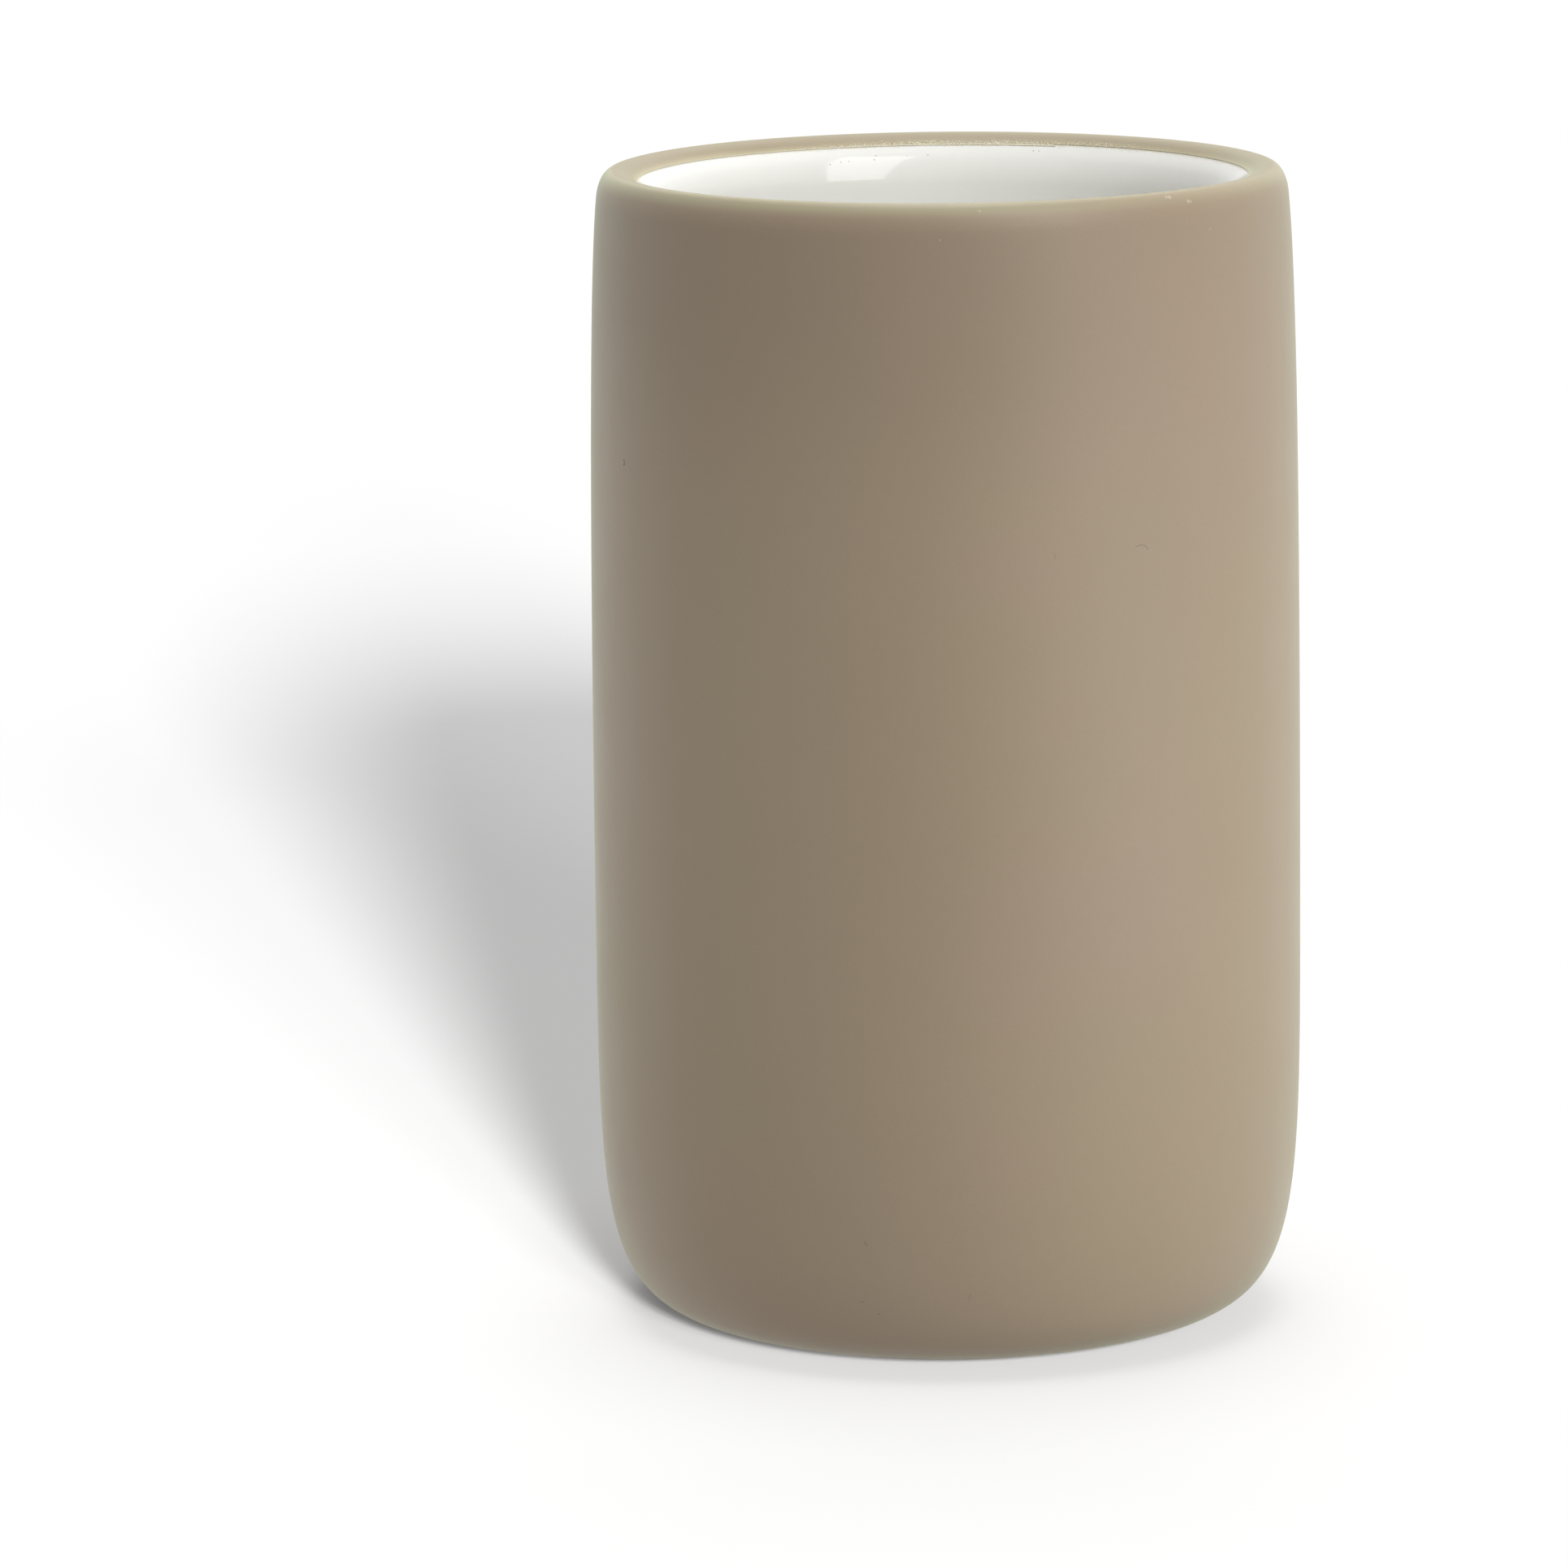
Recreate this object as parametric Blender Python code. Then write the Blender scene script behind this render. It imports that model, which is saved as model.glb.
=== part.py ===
"""An open stoneware tumbler for toothbrushes.

The cup is thick clay with a bare foot ring. A soft rubbery skin covers its outside,
rolls over the lip and stops just inside the mouth, where the gloss glaze of the
inside begins.

All three layers are turned about Z from one lathe line, which runs from the foot up
the outside, over the lip and down the inside to the middle of the floor. Each skin
lies between that line and the same line moved into the wall. The clay begins one
small gap further in.
"""

import math

import bmesh
import bpy
import numpy as np
from mathutils import Vector

# Outside: foot edge, belly and mouth, with the pull of each curve
HEIGHT = 0.1200
FOOT_RADIUS = 0.0254
FOOT_LIFT = 0.0007
FOOT_PULL = 0.0112
CORNER_PULL = 0.0290
BELLY_RADIUS = 0.0368
BELLY_HEIGHT = 0.0400
BELLY_PULL = 0.0310
MOUTH_RADIUS = 0.0356
MOUTH_PULL = 0.0105
MOUTH_LEAN = math.radians(5.6)

# Lip: two quarter ellipses that meet on its crest
LIP_OUTER_WIDTH = 0.00175
LIP_OUTER_DROP = 0.0028
LIP_INNER_WIDTH = 0.00405
LIP_INNER_DROP = 0.0052

# Inside: wall at the belly, floor and the large curve between them
BELLY_WALL = 0.0052
FLOOR_THICKNESS = 0.0055
FLOOR_FLAT_RADIUS = 0.0160
FLOOR_PULL = 0.0145
INNER_CORNER_PULL = 0.0270

# Underside: bare foot ring round a shallow recess
RING_WIDTH = 0.0042
RING_EDGE = 0.0006
RECESS_DEPTH = 0.0020
RECESS_FILLET = 0.0013

# Skins
COAT_THICKNESS = 0.0004
COAT_EDGE_DROP = 0.0014
GLAZE_THICKNESS = 0.0005
GAP = 0.0003

# Fineness of the turned surfaces
TURN_STEPS = 60
CORNER_STEPS = 10
WALL_STEPS = 5
INNER_CORNER_STEPS = 7
INNER_WALL_STEPS = 3
LIP_STEPS = 4
EDGE_STEPS = 3
SMOOTH_ANGLE = math.radians(35)
WELD = 0.00001

# Linear colours
COAT_COLOUR = (0.337, 0.266, 0.184, 1)
CLAY_COLOUR = (0.560, 0.470, 0.360, 1)
GLAZE_COLOUR = (0.850, 0.835, 0.790, 1)


def curve(start, start_pull, end_pull, end, steps):
    """Points of a cubic curve without its end, closer together where it bends more."""
    pulls = np.array([start, start_pull, end_pull, end])

    def at(t):
        return np.stack([(1 - t) ** 3, 3 * (1 - t) ** 2 * t, 3 * (1 - t) * t**2, t**3], axis=1) @ pulls

    fine = np.linspace(0, 1, 200)
    runs = np.diff(at(fine), axis=0)
    lengths = np.hypot(runs[:, 0], runs[:, 1])
    headings = np.unwrap(np.arctan2(runs[:, 1], runs[:, 0]))
    bends = np.abs(np.diff(headings, prepend=headings[0]))
    pace = np.cumsum(lengths / lengths.sum() + bends / (bends.sum() or 1))
    shares = np.interp(np.arange(steps) / steps * pace[-1], np.append(0, pace), fine)
    return [Vector(point) for point in at(shares)]


def quarter(centre, side, rise, steps, from_side):
    """Points of a quarter ellipse from its side to its top, or back, without the last."""
    points = []
    for i in range(steps):
        turn = math.radians(90) * i / steps
        if not from_side:
            turn = math.radians(90) - turn
        points.append(Vector((centre[0] + side * math.cos(turn), centre[1] + rise * math.sin(turn))))
    return points


def floor_height():
    return RECESS_DEPTH + FLOOR_THICKNESS


def outside_line():
    """From the lower edge of the skin up the outside to the crest of the lip."""
    foot = (FOOT_RADIUS, FOOT_LIFT)
    belly = (BELLY_RADIUS, BELLY_HEIGHT)
    shoulder_height = HEIGHT - LIP_OUTER_DROP
    mouth = (MOUTH_RADIUS, shoulder_height)
    line = curve(
        foot,
        (FOOT_RADIUS + FOOT_PULL, FOOT_LIFT),
        (BELLY_RADIUS, BELLY_HEIGHT - CORNER_PULL),
        belly,
        CORNER_STEPS,
    )
    line += curve(
        belly,
        (BELLY_RADIUS, BELLY_HEIGHT + BELLY_PULL),
        (MOUTH_RADIUS + MOUTH_PULL * math.tan(MOUTH_LEAN), shoulder_height - MOUTH_PULL),
        mouth,
        WALL_STEPS,
    )
    crest = (MOUTH_RADIUS - LIP_OUTER_WIDTH, shoulder_height)
    line += quarter(crest, LIP_OUTER_WIDTH, LIP_OUTER_DROP, LIP_STEPS, True)
    return line


def inside_line():
    """From the crest of the lip down the inside to the middle of the floor."""
    crest_radius = MOUTH_RADIUS - LIP_OUTER_WIDTH
    throat = (crest_radius - LIP_INNER_WIDTH, HEIGHT - LIP_INNER_DROP)
    belly = (BELLY_RADIUS - BELLY_WALL, BELLY_HEIGHT)
    flat = (FLOOR_FLAT_RADIUS, floor_height())
    line = quarter((crest_radius, throat[1]), -LIP_INNER_WIDTH, LIP_INNER_DROP, LIP_STEPS, False)
    line += curve(
        throat,
        (throat[0], throat[1] - MOUTH_PULL),
        (belly[0], belly[1] + BELLY_PULL),
        belly,
        INNER_WALL_STEPS,
    )
    line += curve(
        belly,
        (belly[0], belly[1] - INNER_CORNER_PULL),
        (flat[0] + FLOOR_PULL, flat[1]),
        flat,
        INNER_CORNER_STEPS,
    )
    line += [Vector(flat), Vector((0, flat[1]))]
    return line


def split(line, height):
    """The line above and below the first point past which it falls under the height."""
    for i in range(1, len(line)):
        before, after = line[i - 1], line[i]
        if after.y < before.y and after.y <= height <= before.y:
            point = before.lerp(after, (before.y - height) / (before.y - after.y))
            return line[:i] + [point], [point] + line[i:]
    raise ValueError("the line never falls to the height of its edge")


def moved_in(line, distance):
    """The line moved to its left by the distance, with its corners mitred."""
    ways = [(b - a).normalized() for a, b in zip(line, line[1:])]
    sides = [Vector((-way.y, way.x)) for way in ways]
    moved = []
    for i, point in enumerate(line):
        before = sides[max(i - 1, 0)]
        after = sides[min(i, len(sides) - 1)]
        moved.append(point + (before + after) * (distance / (1 + before.dot(after))))
    return moved


def foot_ring(top):
    """From under the skin down round the bare ring and across the recess to the axis."""
    outer = FOOT_RADIUS - GAP
    inner = outer - RING_WIDTH
    fillet = min(RECESS_FILLET, RECESS_DEPTH - RING_EDGE)
    line = [Vector((outer, top))]
    line += quarter((outer - RING_EDGE, RING_EDGE), RING_EDGE, -RING_EDGE, EDGE_STEPS, True)
    line += [Vector((outer - RING_EDGE, 0))]
    line += quarter((inner + RING_EDGE, RING_EDGE), -RING_EDGE, -RING_EDGE, EDGE_STEPS, False)
    line += [Vector((inner, RING_EDGE))]
    line += quarter((inner - fillet, RECESS_DEPTH - fillet), fillet, fillet, EDGE_STEPS, True)
    line += [Vector((inner - fillet, RECESS_DEPTH)), Vector((0, RECESS_DEPTH))]
    return line


def finish(name, colour, roughness, coat=0.0):
    material = bpy.data.materials.new(name)
    material.use_nodes = True
    shader = material.node_tree.nodes["Principled BSDF"]
    shader.inputs["Base Color"].default_value = colour
    shader.inputs["Roughness"].default_value = roughness
    shader.inputs["Coat Weight"].default_value = coat
    material.diffuse_color = colour
    return material


def turned(name, profile, seat, closed, material, parent):
    """A piece turned from a profile of radii and heights, standing at its seat height."""
    mesh = bpy.data.meshes.new(name)
    bm = bmesh.new()
    verts = [bm.verts.new((point.x, 0, point.y - seat)) for point in profile]
    ends = list(zip(verts, verts[1:]))
    if closed:
        ends.append((verts[-1], verts[0]))
    edges = [bm.edges.new(pair) for pair in ends]
    bmesh.ops.spin(
        bm,
        geom=verts + edges,
        cent=(0, 0, 0),
        axis=(0, 0, 1),
        angle=math.radians(360),
        steps=TURN_STEPS,
        use_merge=True,
    )
    bmesh.ops.remove_doubles(bm, verts=bm.verts, dist=WELD)
    bmesh.ops.recalc_face_normals(bm, faces=bm.faces)
    bm.to_mesh(mesh)
    bm.free()
    mesh.shade_smooth()
    mesh.set_sharp_from_angle(angle=SMOOTH_ANGLE)
    mesh.materials.append(material)
    piece = bpy.data.objects.new(name, mesh)
    piece.location = (0, 0, seat)
    piece.parent = parent
    bpy.context.scene.collection.objects.link(piece)
    return piece


def main():
    for old in list(bpy.data.objects):
        bpy.data.objects.remove(old)

    line = outside_line() + inside_line()
    coat_line, rest = split(line, HEIGHT - COAT_EDGE_DROP)
    glaze_line = split(rest, HEIGHT - COAT_EDGE_DROP - GAP)[1]

    tumbler = bpy.data.objects.new("tumbler", None)
    bpy.context.scene.collection.objects.link(tumbler)

    under_coat = moved_in(coat_line, COAT_THICKNESS + GAP)
    under_glaze = moved_in(glaze_line, GLAZE_THICKNESS + GAP)
    body_profile = under_glaze[::-1] + under_coat[::-1] + foot_ring(under_coat[0].y)
    turned(
        "stoneware_body",
        body_profile,
        0,
        False,
        finish("bare_stoneware", CLAY_COLOUR, 0.85),
        tumbler,
    )

    coat_profile = coat_line[::-1] + moved_in(coat_line, COAT_THICKNESS)
    turned(
        "soft_touch_coat",
        coat_profile,
        FOOT_LIFT,
        True,
        finish("soft_touch_lacquer", COAT_COLOUR, 0.62),
        tumbler,
    )

    glaze_profile = glaze_line[::-1] + moved_in(glaze_line, GLAZE_THICKNESS)
    turned(
        "glaze_lining",
        glaze_profile,
        floor_height(),
        False,
        finish("white_glaze", GLAZE_COLOUR, 0.12, 1.0),
        tumbler,
    )


main()
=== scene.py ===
"""Looks of an open stoneware tumbler for toothbrushes.

Three pieces are raised ring by ring from one wall line, as on a wheel: the clay body
with its bare foot ring, the gloss lining and the thin soft skin that rolls over the
lip. Their finishes are worked out in shader nodes, and a plain pale floor, a few soft
lamps and a camera make the stage. Lengths are metres and +Z is up.
"""

import math

import bmesh
import bpy
from bpy.props import FloatProperty, FloatVectorProperty, IntProperty, PointerProperty
from mathutils import Matrix, Vector
from mathutils.geometry import interpolate_bezier


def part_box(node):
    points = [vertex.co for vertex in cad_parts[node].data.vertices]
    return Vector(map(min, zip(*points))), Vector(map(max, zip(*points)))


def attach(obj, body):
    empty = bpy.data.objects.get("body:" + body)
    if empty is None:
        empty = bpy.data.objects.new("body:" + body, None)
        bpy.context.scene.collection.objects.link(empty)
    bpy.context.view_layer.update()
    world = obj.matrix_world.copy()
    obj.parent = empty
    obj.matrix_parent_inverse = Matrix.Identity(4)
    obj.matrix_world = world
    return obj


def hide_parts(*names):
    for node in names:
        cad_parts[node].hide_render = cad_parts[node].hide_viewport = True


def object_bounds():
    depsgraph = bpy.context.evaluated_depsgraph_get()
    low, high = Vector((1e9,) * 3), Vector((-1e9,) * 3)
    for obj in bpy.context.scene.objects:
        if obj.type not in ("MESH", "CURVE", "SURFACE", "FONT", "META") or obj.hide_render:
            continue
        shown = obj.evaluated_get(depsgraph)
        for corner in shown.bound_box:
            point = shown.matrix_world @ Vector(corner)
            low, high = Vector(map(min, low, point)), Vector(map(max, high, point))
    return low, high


bl_info = {
    "name": "Toothbrush Tumbler",
    "version": (1, 0, 0),
    "blender": (4, 5, 0),
    "location": "View3D > Sidebar > Tumbler",
    "description": "Models and finishes a soft-skinned stoneware tumbler",
    "category": "Add Mesh",
}

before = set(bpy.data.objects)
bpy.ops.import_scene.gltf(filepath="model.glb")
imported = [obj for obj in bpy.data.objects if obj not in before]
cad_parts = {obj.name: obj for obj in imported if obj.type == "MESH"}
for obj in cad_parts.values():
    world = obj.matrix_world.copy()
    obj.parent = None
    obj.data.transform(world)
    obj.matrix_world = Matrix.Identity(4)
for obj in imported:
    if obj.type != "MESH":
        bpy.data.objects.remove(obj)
CAD_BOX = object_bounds()
SKIN_LOW, SKIN_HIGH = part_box("soft_touch_coat")
PHOTO_PIXELS = 1932

# Share of a quarter ellipse's side that its curve handles reach
ROUND = 4 / 3 * (math.sqrt(2) - 1)
SMOOTH_ANGLE = math.radians(35)

# Hair's breadths that keep one layer off the next, and how far the inner wall runs past
# the masked edge before the skin is trimmed there and the lining ends under it
CLAY_GAP = 0.00004
LINING_GAP = 0.00002
PAST_EDGE = 0.0008

# Colours of painted shade on the inner crest of the lip, then of small marks and worn places
CREST_PAINTED_SHADE = (0.250, 0.228, 0.135, 1)
PIT_BROWN = (0.16, 0.115, 0.06, 1)
FIBRE_BROWN = (0.07, 0.05, 0.04, 1)
CHIP_CREAM = (0.80, 0.74, 0.62, 1)
DUST_CREAM = (0.72, 0.66, 0.56, 1)
DROPLET_TAN = (0.42, 0.33, 0.20, 1)
PINHOLE_BROWN = (0.30, 0.26, 0.21, 1)
SANDED_CLAY = (0.66, 0.58, 0.47, 1)

# Fibres and pits under the skin: place in mm, lean in degrees, half length, half
# width and bow in mm, and how dark
FIBRES = (
    ((19.74, -30.81, 85.25), 14, 1.00, 0.09, 0.52, 0.34),
    ((10.94, -34.92, 84.88), 84, 0.50, 0.07, 0.35, 0.20),
    ((-8.50, -35.13, 14.80), 38, 0.26, 0.11, 0.10, 0.32),
    ((-8.60, -35.05, 14.95), 100, 0.20, 0.08, 0.00, 0.24),
    ((-8.98, -33.87, 8.49), 2, 0.33, 0.08, 0.20, 0.30),
    ((-7.27, -33.88, 7.21), -6, 0.15, 0.10, 0.00, 0.34),
    ((1.94, -35.18, 9.26), 112, 0.48, 0.07, 0.16, 0.26),
)

# Pale chips on the front of the lip and dust on the wall: place and radius in mm
CHIPS = (
    ((22.62, -26.40, 119.55), 0.30),
    ((22.29, -26.64, 119.58), 0.20),
    ((24.52, -25.16, 118.98), 0.26),
    ((24.76, -24.94, 118.96), 0.18),
    ((3.69, -34.75, 119.30), 0.17),
    ((-0.25, -35.65, 116.56), 0.11),
    ((26.74, -23.65, 116.02), 0.12),
)

# A pimple in the skin on the left: place and radius in mm
PIMPLE = ((-32.54, -16.55, 91.93), 0.4)

# Pinholes in the glaze just below the skin's edge: place and radius in mm
PINHOLES = (
    ((-7.03, 29.81, 117.91), 0.12),
    ((-7.20, 29.52, 117.51), 0.11),
    ((-9.87, 28.71, 117.45), 0.08),
    ((-10.73, 28.38, 117.40), 0.10),
    ((-11.85, 27.84, 117.21), 0.09),
    ((-1.50, 30.56, 117.86), 0.12),
    ((-3.74, 30.34, 117.82), 0.07),
    ((9.73, 29.37, 118.31), 0.13),
    ((10.33, 29.17, 118.33), 0.10),
)

# Panels that light the cup and aren't mirrored in it: turn to the right of the front
# and rise in degrees, distance, width and height in metres, and radiance
PANELS = (
    ("front_panel", 45, 40, 1.0, 0.50, 0.50, 1.95),
    ("left_top_panel", -60, 70, 1.0, 0.50, 0.50, 1.5),
    ("right_back_panel", 135, 40, 1.0, 0.50, 0.50, 3.7),
    ("back_panel", 180, 40, 1.0, 0.50, 0.50, 6.0),
    ("left_back_card", -120, 0, 0.22, 0.12, 0.10, 1.25),
    ("left_card", -60, -4, 0.16, 0.14, 0.07, 0.95),
    ("right_card", 60, -4, 0.16, 0.14, 0.07, 2.9),
)

# Far lamps that light the floor: turn, rise and breadth in degrees, and share of the
# low or the high light
LOW_LAMPS = (
    ("low_lamp", 9.75, 17, 7, 0.66),
    ("lowest_lamp", 9.75, 11, 7, 0.15),
    ("low_side_lamp", 18, 18, 10, 0.19),
)
HIGH_LAMPS = (
    ("high_lamp", 0, 89, 30, 0.69),
    ("high_back_lamp", 180, 50, 50, 0.31),
)


class TumblerShape(bpy.types.PropertyGroup):
    """Sizes of the cup's wall line and of the layers on it"""

    height: FloatProperty(
        name="Height",
        description="From the shelf to the crest of the lip",
        default=SKIN_HIGH.z,
        unit="LENGTH",
    )
    belly_radius: FloatProperty(
        name="Belly radius",
        description="Outside radius at the widest place",
        default=SKIN_HIGH.x,
        unit="LENGTH",
    )
    foot_lift: FloatProperty(
        name="Foot lift",
        description="Lower edge of the skin above the shelf",
        default=SKIN_LOW.z,
        unit="LENGTH",
    )
    floor_height: FloatProperty(
        name="Floor height", description="Inside bottom above the shelf", default=0.0075, unit="LENGTH"
    )
    foot_radius: FloatProperty(
        name="Foot radius",
        description="Outside radius at the skin's lower edge",
        default=0.0254,
        unit="LENGTH",
    )
    foot_pull: FloatProperty(
        name="Foot pull",
        description="How far the curve runs out flat from the foot",
        default=0.0112,
        unit="LENGTH",
    )
    corner_pull: FloatProperty(
        name="Corner pull",
        description="How far the curve comes up upright to the belly",
        default=0.0290,
        unit="LENGTH",
    )
    belly_height: FloatProperty(
        name="Belly height", description="Height of the widest place", default=0.0400, unit="LENGTH"
    )
    belly_pull: FloatProperty(
        name="Belly pull",
        description="How far the wall stays upright above the belly",
        default=0.0310,
        unit="LENGTH",
    )
    mouth_radius: FloatProperty(
        name="Mouth radius", description="Outside radius below the lip", default=0.0356, unit="LENGTH"
    )
    mouth_pull: FloatProperty(
        name="Mouth pull",
        description="Length over which the wall takes its lean",
        default=0.0105,
        unit="LENGTH",
    )
    mouth_lean: FloatProperty(
        name="Mouth lean",
        description="Inward lean of the wall at the mouth",
        default=math.radians(5.6),
        subtype="ANGLE",
    )
    lip_outer_width: FloatProperty(
        name="Outer lip width", description="From the outside to the crest", default=0.00175, unit="LENGTH"
    )
    lip_outer_drop: FloatProperty(
        name="Outer lip drop", description="Height of the rounding outside", default=0.0028, unit="LENGTH"
    )
    lip_inner_width: FloatProperty(
        name="Inner lip width",
        description="From the crest to the inner wall",
        default=0.00405,
        unit="LENGTH",
    )
    lip_inner_drop: FloatProperty(
        name="Inner lip drop", description="Height of the rounding inside", default=0.0052, unit="LENGTH"
    )
    belly_wall: FloatProperty(
        name="Belly wall",
        description="Thickness of the wall at the belly",
        default=0.0052,
        unit="LENGTH",
    )
    floor_flat: FloatProperty(
        name="Flat of the floor",
        description="Radius of the level part inside",
        default=0.0160,
        unit="LENGTH",
    )
    floor_pull: FloatProperty(
        name="Floor pull",
        description="How far the inner curve runs out flat",
        default=0.0145,
        unit="LENGTH",
    )
    inner_corner_pull: FloatProperty(
        name="Inner corner pull",
        description="How far the inner curve comes up upright",
        default=0.0270,
        unit="LENGTH",
    )
    skin_thickness: FloatProperty(
        name="Skin thickness", description="Sprayed film of the soft skin", default=0.00006, unit="LENGTH"
    )
    glaze_thickness: FloatProperty(
        name="Glaze thickness", description="Fired glaze of the lining", default=0.0003, unit="LENGTH"
    )
    edge_drop: FloatProperty(
        name="Masked edge",
        description="Drop from the crest to the skin's inner edge",
        default=0.00108,
        unit="LENGTH",
    )
    edge_tilt: FloatProperty(
        name="Edge tilt",
        description="How far the masked edge is out of level",
        default=math.radians(0.17),
        subtype="ANGLE",
    )
    ring_width: FloatProperty(
        name="Foot ring width", description="Width of the bare ring", default=0.0042, unit="LENGTH"
    )
    recess_depth: FloatProperty(
        name="Recess depth", description="Hollow inside the foot ring", default=0.0020, unit="LENGTH"
    )
    around: IntProperty(
        name="Fineness", description="Steps round each ring", default=256, min=24
    )


class TumblerLooks(bpy.types.PropertyGroup):
    """Colours and gloss of the three layers"""

    skin_warm: FloatVectorProperty(
        name="Skin, warm",
        description="Rosier patches of the soft skin",
        default=(0.350, 0.268, 0.188),
        subtype="COLOR",
    )
    skin_cool: FloatVectorProperty(
        name="Skin, cool",
        description="Yellower patches of the soft skin",
        default=(0.344, 0.270, 0.182),
        subtype="COLOR",
    )
    skin_roughness: FloatProperty(
        name="Skin roughness", description="Silky and nearly matt", default=0.45, subtype="FACTOR"
    )
    overspray: FloatVectorProperty(
        name="Overspray",
        description="Thin golden skin at its masked edge",
        default=(0.58, 0.53, 0.33),
        subtype="COLOR",
    )
    # Painted highlight: the paler, greener colour of the skin over the outer crest of the lip
    lip_painted_highlight: FloatVectorProperty(
        name="Lip",
        description="Skin drawn thin over the outer edge of the lip",
        default=(0.45, 0.45, 0.28),
        subtype="COLOR",
    )
    overspray_pale: FloatVectorProperty(
        name="Overspray, pale",
        description="Grains and mist over the glaze",
        default=(0.80, 0.75, 0.60),
        subtype="COLOR",
    )
    glaze_colour: FloatVectorProperty(
        name="Glaze", description="Warm white gloss", default=(0.885, 0.880, 0.840), subtype="COLOR"
    )
    glaze_pooled: FloatVectorProperty(
        name="Pooled glaze",
        description="Where the glaze lies thicker",
        default=(0.780, 0.785, 0.745),
        subtype="COLOR",
    )
    glaze_roughness: FloatProperty(
        name="Glaze roughness", description="Nearly a mirror", default=0.07, subtype="FACTOR"
    )
    clay_colour: FloatVectorProperty(
        name="Clay", description="Fired buff stoneware", default=(0.560, 0.470, 0.360), subtype="COLOR"
    )
    clay_dark: FloatVectorProperty(
        name="Clay, dark",
        description="Toasted patches and iron spots",
        default=(0.240, 0.165, 0.105),
        subtype="COLOR",
    )


class TumblerStage(bpy.types.PropertyGroup):
    """Camera, lamps and surroundings"""

    camera_back: FloatProperty(
        name="Camera distance", description="In front of the cup's axis", default=0.81841, unit="LENGTH"
    )
    camera_height: FloatProperty(
        name="Camera height", description="Above the shelf", default=0.20915, unit="LENGTH"
    )
    camera_pitch: FloatProperty(
        name="Look down", description="Below the horizon", default=0.18553, subtype="ANGLE"
    )
    camera_yaw: FloatProperty(
        name="Look aside", description="To the right of the cup's axis", default=-0.02072, subtype="ANGLE"
    )
    camera_roll: FloatProperty(
        name="Camera roll", description="Turn about the view", default=-0.01169, subtype="ANGLE"
    )
    focal_pixels: FloatProperty(
        name="Focal length in pixels", description="Of the square photograph", default=9839.0
    )
    around_light: FloatProperty(
        name="Surrounding light", description="Level of the plain room on the cup", default=0.25
    )
    box_light: FloatProperty(
        name="Box light", description="Radiance of the tall softbox in front on the right", default=2.68
    )
    top_light: FloatProperty(
        name="Top light", description="Radiance of the panel above the cup", default=3.7
    )
    low_light: FloatProperty(
        name="Low light", description="Level that the low lamps add on the floor", default=0.54
    )
    high_light: FloatProperty(
        name="High light", description="Level that the high lamps add on the floor", default=0.30
    )
    floor_glow: FloatProperty(
        name="Floor glow", description="Least level at which the camera sees the floor", default=0.10
    )
    floor_shade: FloatProperty(
        name="Floor", description="Paleness of the plain floor", default=0.40, subtype="FACTOR"
    )
    floor_bounce: FloatProperty(
        name="Floor bounce",
        description="Share of the floor's light that reaches the cup",
        default=0.29,
        subtype="FACTOR",
    )
    # Painted light: the floor's share for light bounced onto the cup close to the foot, a painted pool of
    # light
    painted_pool_bounce: FloatProperty(
        name="Near bounce", description="The same share close to the foot", default=0.64, subtype="FACTOR"
    )


# Shader nodes


class Sum:
    """An output of a finish's nodes, on which shader maths is written as Python sums."""

    def __init__(self, finish, socket):
        self.finish = finish
        self.socket = socket

    def math(self, operation, *values):
        return self.finish.node("ShaderNodeMath", {"operation": operation}, dict(enumerate(values)))

    def __add__(self, other):
        return self.math("ADD", self, other)

    __radd__ = __add__

    def __sub__(self, other):
        return self.math("SUBTRACT", self, other)

    def __rsub__(self, other):
        return self.math("SUBTRACT", other, self)

    def __mul__(self, other):
        return self.math("MULTIPLY", self, other)

    __rmul__ = __mul__

    def __pow__(self, other):
        return self.math("POWER", self, other)

    def __abs__(self):
        return self.math("ABSOLUTE", self)

    def most(self, other):
        return self.math("MAXIMUM", self, other)

    def between(self, low, high):
        """0 below low, 1 above high, and a smooth step from one to the other."""
        limits = {"Value": self, "From Min": low, "From Max": high}
        return self.finish.node("ShaderNodeMapRange", {"interpolation_type": "SMOOTHSTEP"}, limits)


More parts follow.
